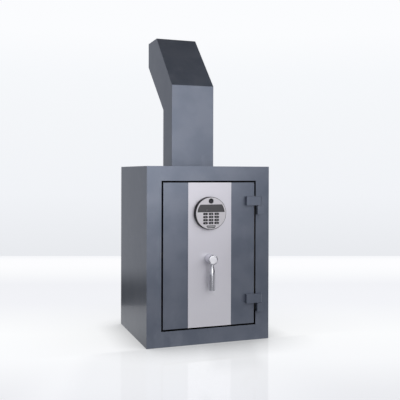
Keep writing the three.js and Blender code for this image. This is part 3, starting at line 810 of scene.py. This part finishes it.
def character_shape(text, x, z, front):
    curve = bpy.data.curves.new("character", "FONT")
    curve.body = text
    curve.size = CHARACTER_HEIGHT * SIZE_TO_HEIGHT
    curve.extrude = INK_DEPTH / 2
    curve.offset = INK_SPREAD
    curve.align_x = "CENTER"
    bm = solid_of(curve)
    heights = [vert.co.y for vert in bm.verts]
    middle = (min(heights) + max(heights)) / 2
    place = Matrix.Translation((x, front, z)) @ STAND_UP @ Matrix.Translation((0, -middle, 0))
    bmesh.ops.transform(bm, matrix=place, verts=bm.verts)
    bmesh.ops.remove_doubles(bm, verts=bm.verts, dist=0.0001 * MM)
    return bm


for node in KEY_NODES:
    low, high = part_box(node)
    x, z, width, height = key_size(node)
    cap = flat_shape([key_outline(node)], low.y, high.y, edge=0.7 * MM)
    add_piece(f"{node}_cap", cap, key_silicone, body_of(node), [node])
    text = CHARACTERS.get(node, node[-1])
    ink = character_shape(text, x, z, low.y - INK_DEPTH / 2)
    add_piece(f"{node}_character", ink, key_ink, body_of(node))
print(f"a key is {width * 1000:.1f} mm wide and {height * 1000:.1f} mm high")

# %% [markdown]
# Under the keys is a small plain badge: a dark bezel, wider above than below, round a pale insert.

# %% Badge
badge_z = pad_z - 45.2 * MM
badge_front = face_low.y - 0.9 * MM
insert_front = badge_front + 0.4 * MM
badge_head = 33 * MM
badge_foot = 26 * MM
badge_height = 9 * MM
badge_round = 2.4 * MM
bezel = 2.4 * MM
badge_outer = rounded_outline(pad_x, badge_z, badge_head, badge_height, badge_round,
                              foot_width=badge_foot)
badge_inner = rounded_outline(pad_x, badge_z, badge_head - 2 * bezel, badge_height - 2 * bezel,
                              badge_round / 2, steps=5, foot_width=badge_foot - 1.4 * bezel)
badge_rim = flat_shape([badge_outer, badge_inner], badge_front, face_low.y, edge=0.3 * MM)
add_piece("badge_bezel", badge_rim, key_silicone, "door")
badge_plate = flat_shape([badge_inner], insert_front, face_low.y, edge=0.1 * MM)
add_piece("badge_insert", badge_plate, key_ink, "door")
print(f"badge {badge_head * 1000:.0f} mm wide at its head, {badge_foot * 1000:.0f} mm at its foot")

# %% [markdown]
# The lead behind the keypad runs inside the door. Nobody sees it, but it is part of the model. Its
# shape is right as it is, so it stays, and its material slot takes its own jacket finish.

# %% Lead inside the door
lead = frame["nodes"]["keypad_cable"]
lead.material_slots[0].material = lead_jacket.material
print(f"the lead wears {lead.active_material.name}")

# %% [markdown]
# Small fasteners make a welded box look like a made thing. The cover on the inside of the door is
# held by eight button-head screws of the kind that needs its own key: a round socket with a pin
# standing in its middle. All of that is turned, so one profile draws it.

# %% Cover screws
cover_low, cover_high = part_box("door_cover")
screw_radius = 4 * MM
screw_height = 2.2 * MM
screw_inset = 11 * MM
socket_radius = 1.7 * MM
socket_depth = 1.3 * MM
pin_radius = 0.6 * MM
pin_end = screw_height - 0.3 * MM
dome_steps = 7
side_fullness = 0.6
crown_fullness = 0.8


def button_head(x, y, z):
    """A domed head that stands on a plate facing +Y, with a socket and a pin in it."""
    profile = [(0, 0), (0, screw_radius)]
    dome_end = math.acos((socket_radius / screw_radius) ** (1 / side_fullness))
    for step in range(1, dome_steps + 1):
        angle = dome_end * step / dome_steps
        profile.append((screw_height * math.sin(angle) ** crown_fullness,
                        screw_radius * math.cos(angle) ** side_fullness))
    socket_floor = screw_height - socket_depth
    profile += [(socket_floor, socket_radius), (socket_floor, pin_radius)]
    profile += [(pin_end, pin_radius), (pin_end, 0)]
    return turned(profile, (x, y, z), (0, 1, 0), steps=32)


columns = (cover_low.x + screw_inset, cover_high.x - screw_inset)
row_pitch = (cover_high.z - cover_low.z - 2 * screw_inset) / 3
rows = [cover_low.z + screw_inset + row_pitch * i for i in range(4)]
for column, x in enumerate(columns):
    for row, z in enumerate(rows):
        add_piece(f"cover_screw_{column}_{row}", button_head(x, cover_high.y, z), steel, "door")
print("cover screws:", len(columns) * len(rows))

# %% [markdown]
# The picture is taken from the left of the front, from a little under the height of the cabinet's
# top, with a long lens that is kept level, so that upright edges stay upright. A small shift brings
# the safe to the middle of the frame. The camera's angles are in radians.

# %% Camera
camera_data = bpy.data.cameras.new("studio_camera")
camera = bpy.data.objects.new("studio_camera", camera_data)
bpy.context.scene.collection.objects.link(camera)
camera_place = Vector((-0.76283, -2.23537, 0.57548))
heading = 0.3416
tilt = -0.0051
roll = 0.0029
forward = Vector((math.sin(heading) * math.cos(tilt), math.cos(heading) * math.cos(tilt), math.sin(tilt)))
level_right = Vector((math.cos(heading), -math.sin(heading), 0))
level_up = level_right.cross(forward)
right = math.cos(roll) * level_right + math.sin(roll) * level_up
up = -math.sin(roll) * level_right + math.cos(roll) * level_up
camera.matrix_world = Matrix((
    (right.x, up.x, -forward.x, camera_place.x),
    (right.y, up.y, -forward.y, camera_place.y),
    (right.z, up.z, -forward.z, camera_place.z),
    (0, 0, 0, 1)))
camera_data.sensor_width = 36
camera_data.lens = 58.06
camera_data.shift_y = -0.058
camera_data.clip_start = 0.05
camera_data.clip_end = 60
bpy.context.scene.camera = camera
bpy.context.scene.view_settings.view_transform = "Standard"
print(f"camera {camera_place.length:.2f} m from the middle of the safe's foot")

# %% [markdown]
# The studio's own things, a floor and a flag, are flat sheets.

# %% A sheet of the studio
def stage_sheet(name, corners, finish):
    bm = bmesh.new()
    bm.faces.new([bm.verts.new(corner) for corner in corners])
    mesh = bpy.data.meshes.new(name)
    bm.to_mesh(mesh)
    bm.free()
    mesh.materials.append(finish.material)
    sheet = bpy.data.objects.new(name, mesh)
    bpy.context.scene.collection.objects.link(sheet)
    return sheet


# %% [markdown]
# The floor is a pale sheet that ends where the backdrop begins. A sheet lit only by lamps would
# either stay grey or burn out near them, so it glows by its own tone, a few levels darker in the
# middle distance and brightest along its far edge. The tones are stops along the sheet, from the
# tripod to that edge, and the sheet is turned a little so that the edge lies level in the picture.

# %% The floor's tones
floor_near = 7.0
floor_far = 4.5
floor_half = 9.0
edge_turn = 0.0234
floor_angle = heading - edge_turn
door_line = front_face - camera_place.y
FLOOR_TONES = [
    (0.0, tone(230, 231, 235)), (0.3, tone(234, 235, 239)), (0.35, tone(240, 241, 244)),
    (0.42, tone(247, 248, 250)), (0.52, tone(250, 251, 252)), (0.6, tone(246, 247, 249)),
    (0.7, tone(241, 242, 246)), (0.84, tone(240, 241, 245)), (0.92, tone(248, 249, 251)),
    (0.97, tone(252, 252, 254)), (0.9925, tone(252, 252, 254)), (0.9985, tone(250, 251, 253)),
    (1.0, tone(246, 247, 250))]
print(f"the door's plane is {door_line:.2f} m from the tripod, the floor's far edge {floor_far:.2f} m")

# %% [markdown]
# The lamps add to the glow, and so the floor keeps the safe's shadow. Round the safe it also darkens
# with how little sky it sees, which ambient occlusion measures. That shade reaches further out
# before the door than beside the safe, where a close one and a wide, weak one add up. A faint one
# lies before the right of the door as well, on the side away from the low lamp.

# %% Shade on the floor
def open_sky(sheet, reach):
    """The share of the sky that a point of the sheet sees past what stands within reach."""
    return sheet.node("ShaderNodeAmbientOcclusion", {"samples": 8}, {"Distance": reach}, output="AO")


def shade_round_safe(sheet, before_door):
    close_depth = 0.68
    wide_depth = 0.2
    close = open_sky(sheet, 0.11) * close_depth + (1 - close_depth)
    wide = open_sky(sheet, 0.5) * wide_depth + (1 - wide_depth)
    beside = close * wide
    in_front = open_sky(sheet, 0.2)
    return beside + (in_front - beside) * before_door


def shade_on_right(sheet, across, forward, before_door):
    depth = 0.09
    width = sheet.between(across, 0.05, 0.11) * sheet.between(across, 0.26, 0.21) * before_door
    return width * sheet.between(forward, door_line - 0.36, door_line - 0.2) * depth


# %% [markdown]
# No studio lights its floor evenly. Here the light falls off slowly towards the right, and a pool of
# it lies before the door. A patch in front of the door is polished as well, and mirrors it faintly.
# Places on the floor are metres from the tripod, along the sheet and across it.

# %% Light and polish before the door
def light_on_floor(sheet, along, across):
    fall = sheet.between(across, -0.65, 0.65, -0.01, 0.045) * sheet.between(along, 3.2, 1.7)
    pool_left = sheet.between(across, -0.5, -0.28, -0.018, 0.054)
    pool_right = sheet.between(across, 0.1, 0.45, 0.0, 0.08)
    return 1 - fall + (pool_left - pool_right) * sheet.between(along, 1.98, 1.66)


def polished_patch(sheet, along, across, before_door):
    polish = 0.1
    width = sheet.between(across, -0.36, -0.26) * sheet.between(across, 0.5, 0.36)
    return before_door * width * sheet.between(along, 1.4, 1.6) * polish


# %% [markdown]
# The glow is for the eye of the camera. What chrome and enamel mirror of the floor is dimmer, and
# least near the tripod, so that it doesn't wash them out. A diffuse shader beside the glow takes the
# lamps' light, and a glossy one is mixed in where the sheet is polished.

# %% Floor
def floor_finish():
    sheet = Finish("pale_floor")
    along = sheet.coordinate("Y")
    across = sheet.coordinate("X")
    forward = along * math.cos(floor_angle) - across * math.sin(floor_angle)
    before_door = sheet.between(forward, door_line + 20 * MM, door_line - 20 * MM)
    depth = sheet.between(along, 0.0, floor_far)
    tones = sheet.node("ShaderNodeValToRGB", {"stops": FLOOR_TONES}, {"Fac": depth})
    shade = shade_round_safe(sheet, before_door)
    light = light_on_floor(sheet, along, across) - shade_on_right(sheet, across, forward, before_door)
    mirrored = sheet.between(along, 1.9, 2.5, 0.4, 0.8)
    seen = sheet.ray("Camera") * shade * light + sheet.ray("Glossy") * mirrored + sheet.ray("Transmission")
    diffuse = sheet.node("ShaderNodeBsdfDiffuse", {}, {"Color": tone(96, 97, 99)})
    glow = sheet.node("ShaderNodeEmission", {}, {"Color": sheet.dimmed(tones, seen), "Strength": 1.0})
    matt = sheet.node("ShaderNodeAddShader", {}, {0: diffuse, 1: glow})
    mirror = sheet.node("ShaderNodeBsdfGlossy", {}, {"Color": tone(244, 245, 248), "Roughness": 0.06})
    polish = polished_patch(sheet, along, across, before_door)
    return sheet.worn_as(sheet.node("ShaderNodeMixShader", {}, {0: polish, 1: matt, 2: mirror}))


floor_corners = [(-floor_half, -floor_near, 0), (floor_half, -floor_near, 0),
                 (floor_half, floor_far, 0), (-floor_half, floor_far, 0)]
floor = stage_sheet("floor", floor_corners, floor_finish())
floor.location = (camera_place.x, camera_place.y, -0.5 * MM)
floor.rotation_euler = (0, 0, -floor_angle)
print("nodes in the floor's finish:", len(floor.active_material.node_tree.nodes))

# %% [markdown]
# Behind the floor is a plain bright backdrop, a touch greyer towards the floor. The world plays it
# for the camera. In reflections the world also has a pale wall on the left, and the rest of the
# studio, in front of the safe and overhead, is dim, so that chrome has something dark to mirror and
# the sloping top of the neck falls dark. The world's own light on the safe is kept low, and the
# lamps do the rest.

# %% Backdrop and dim studio
world = bpy.data.worlds.new("studio")
bpy.context.scene.world = world
world.use_nodes = True


class Backdrop(Finish):
    def __init__(self, world):
        self.tree = world.node_tree
        self.tree.nodes.clear()
        self.output = self.tree.nodes.new("ShaderNodeOutputWorld")


backdrop = Backdrop(world)
direction = backdrop.node("ShaderNodeTexCoord", output="Generated")
side, depth, rise = [
    backdrop.node("ShaderNodeSeparateXYZ", {}, {"Vector": direction}, output=axis) for axis in "XYZ"]
lift = backdrop.node("ShaderNodeMapRange", {}, {"Value": rise, "From Min": -0.2, "From Max": 1.0})
sky = backdrop.node("ShaderNodeValToRGB", {"stops": [
    (0.0, tone(232, 234, 239)), (0.07, tone(233, 235, 239)), (0.14, tone(241, 243, 247)),
    (0.24, tone(244, 246, 249)), (0.29, tone(246, 248, 251)), (0.34, tone(251, 252, 254)),
    (1.0, tone(250, 250, 252))]}, {"Fac": lift})
camera_ray = backdrop.ray("Camera")
glossy_ray = backdrop.ray("Glossy")
clear_ray = backdrop.ray("Transmission")
room_dim = 0.12
left_wall = 0.8
ceiling_dim = 0.165
ambient = 0.03
behind = backdrop.between(depth, -0.15, 0.35, room_dim, 1.0)
beside = backdrop.between(side, -0.2, -0.55) * left_wall
overhead = backdrop.between(rise, 0.3, 0.65)
around = backdrop.node("ShaderNodeMath", {"operation": "MAXIMUM"}, {0: behind, 1: beside})
mirrored = around * (1 - overhead) + ceiling_dim * overhead
level = camera_ray + (glossy_ray + clear_ray) * mirrored + ambient * (1 - camera_ray) * (1 - glossy_ray)
light = {"Color": backdrop.dimmed(sky, level), "Strength": 1.0}
backdrop.worn_as(backdrop.node("ShaderNodeBackground", {}, light))
print("nodes in the backdrop:", len(backdrop.tree.nodes))

# %% [markdown]
# A photographer who lights a glossy box puts grey flags beside it, outside the picture, to hold its
# flank down. This one stands behind the safe on the left. Only reflections see it: its grey keeps
# the side of the cabinet calm, and its dark foot draws the soft dark band low on that side.

# %% Flag on the left
def flag_finish():
    cloth = Finish("grey_flag")
    shade = cloth.node("ShaderNodeValToRGB", {"stops": [
        (0.0, tone(118, 120, 124)), (0.085, tone(118, 120, 124)), (0.16, tone(198, 200, 205)),
        (1.0, tone(192, 195, 202))]}, {"Fac": cloth.coordinate("Z")})
    return cloth.worn_as(cloth.node("ShaderNodeEmission", {}, {"Color": shade, "Strength": 1.0}))


flag_width = 1.5
flag_height = 1.9
flag_foot = (-0.1, 0.59, 0)
flag_corners = [(-flag_width, 0, 0), (0, 0, 0), (0, 0, flag_height), (-flag_width, 0, flag_height)]
flag = stage_sheet("flag", flag_corners, flag_finish())
flag.location = flag_foot
flag.rotation_euler = (0, 0, heading)
flag.visible_camera = False
flag.visible_diffuse = False
flag.visible_shadow = False
flag.visible_transmission = False
print(f"flag {flag_width} m wide and {flag_height} m high, seen in reflections only")

# %% [markdown]
# Three large soft boxes light the safe from close by. The key hangs a little right of the middle and
# above the door, where the front mirrors it softly to the camera, so the upper left of the front is
# brightest and the light fades towards the sill. A low box on the left gives the chrome lever its
# long bright line, and a high one on the right models the hinges and the keypad's edge. A lamp of
# pi squared watts, one metre away, lights a facing surface to the tone that it is painted, and its
# light thins with the square of its distance, so each lamp is given as a share of that.

# %% Soft boxes
target = Vector((0, -0.19, 0.5))
PLAIN_LEVEL = math.pi ** 2
SOFT_WHITE = (0.985, 0.99, 1.0)


def soft_box(name, azimuth, elevation, distance, size, share):
    turn = math.radians(azimuth)
    rise = math.radians(elevation)
    aim = Vector((math.sin(turn) * math.cos(rise), -math.cos(turn) * math.cos(rise), math.sin(rise)))
    data = bpy.data.lights.new(name, "AREA")
    data.shape = "SQUARE"
    data.size = size
    data.energy = share * PLAIN_LEVEL * distance ** 2
    data.color = SOFT_WHITE
    lamp = bpy.data.objects.new(name, data)
    lamp.location = target + aim * distance
    lamp.rotation_euler = aim.to_track_quat("Z", "Y").to_euler()
    lamp.visible_camera = False
    bpy.context.scene.collection.objects.link(lamp)


soft_box("key_box", azimuth=8, elevation=15, distance=1.5, size=1.1, share=0.295)
soft_box("left_box", azimuth=-10, elevation=2, distance=1.5, size=1.1, share=0.206)
soft_box("high_box", azimuth=50, elevation=28, distance=1.9, size=1.3, share=0.267)
print("lamps:", [lamp.name for lamp in bpy.data.lights])
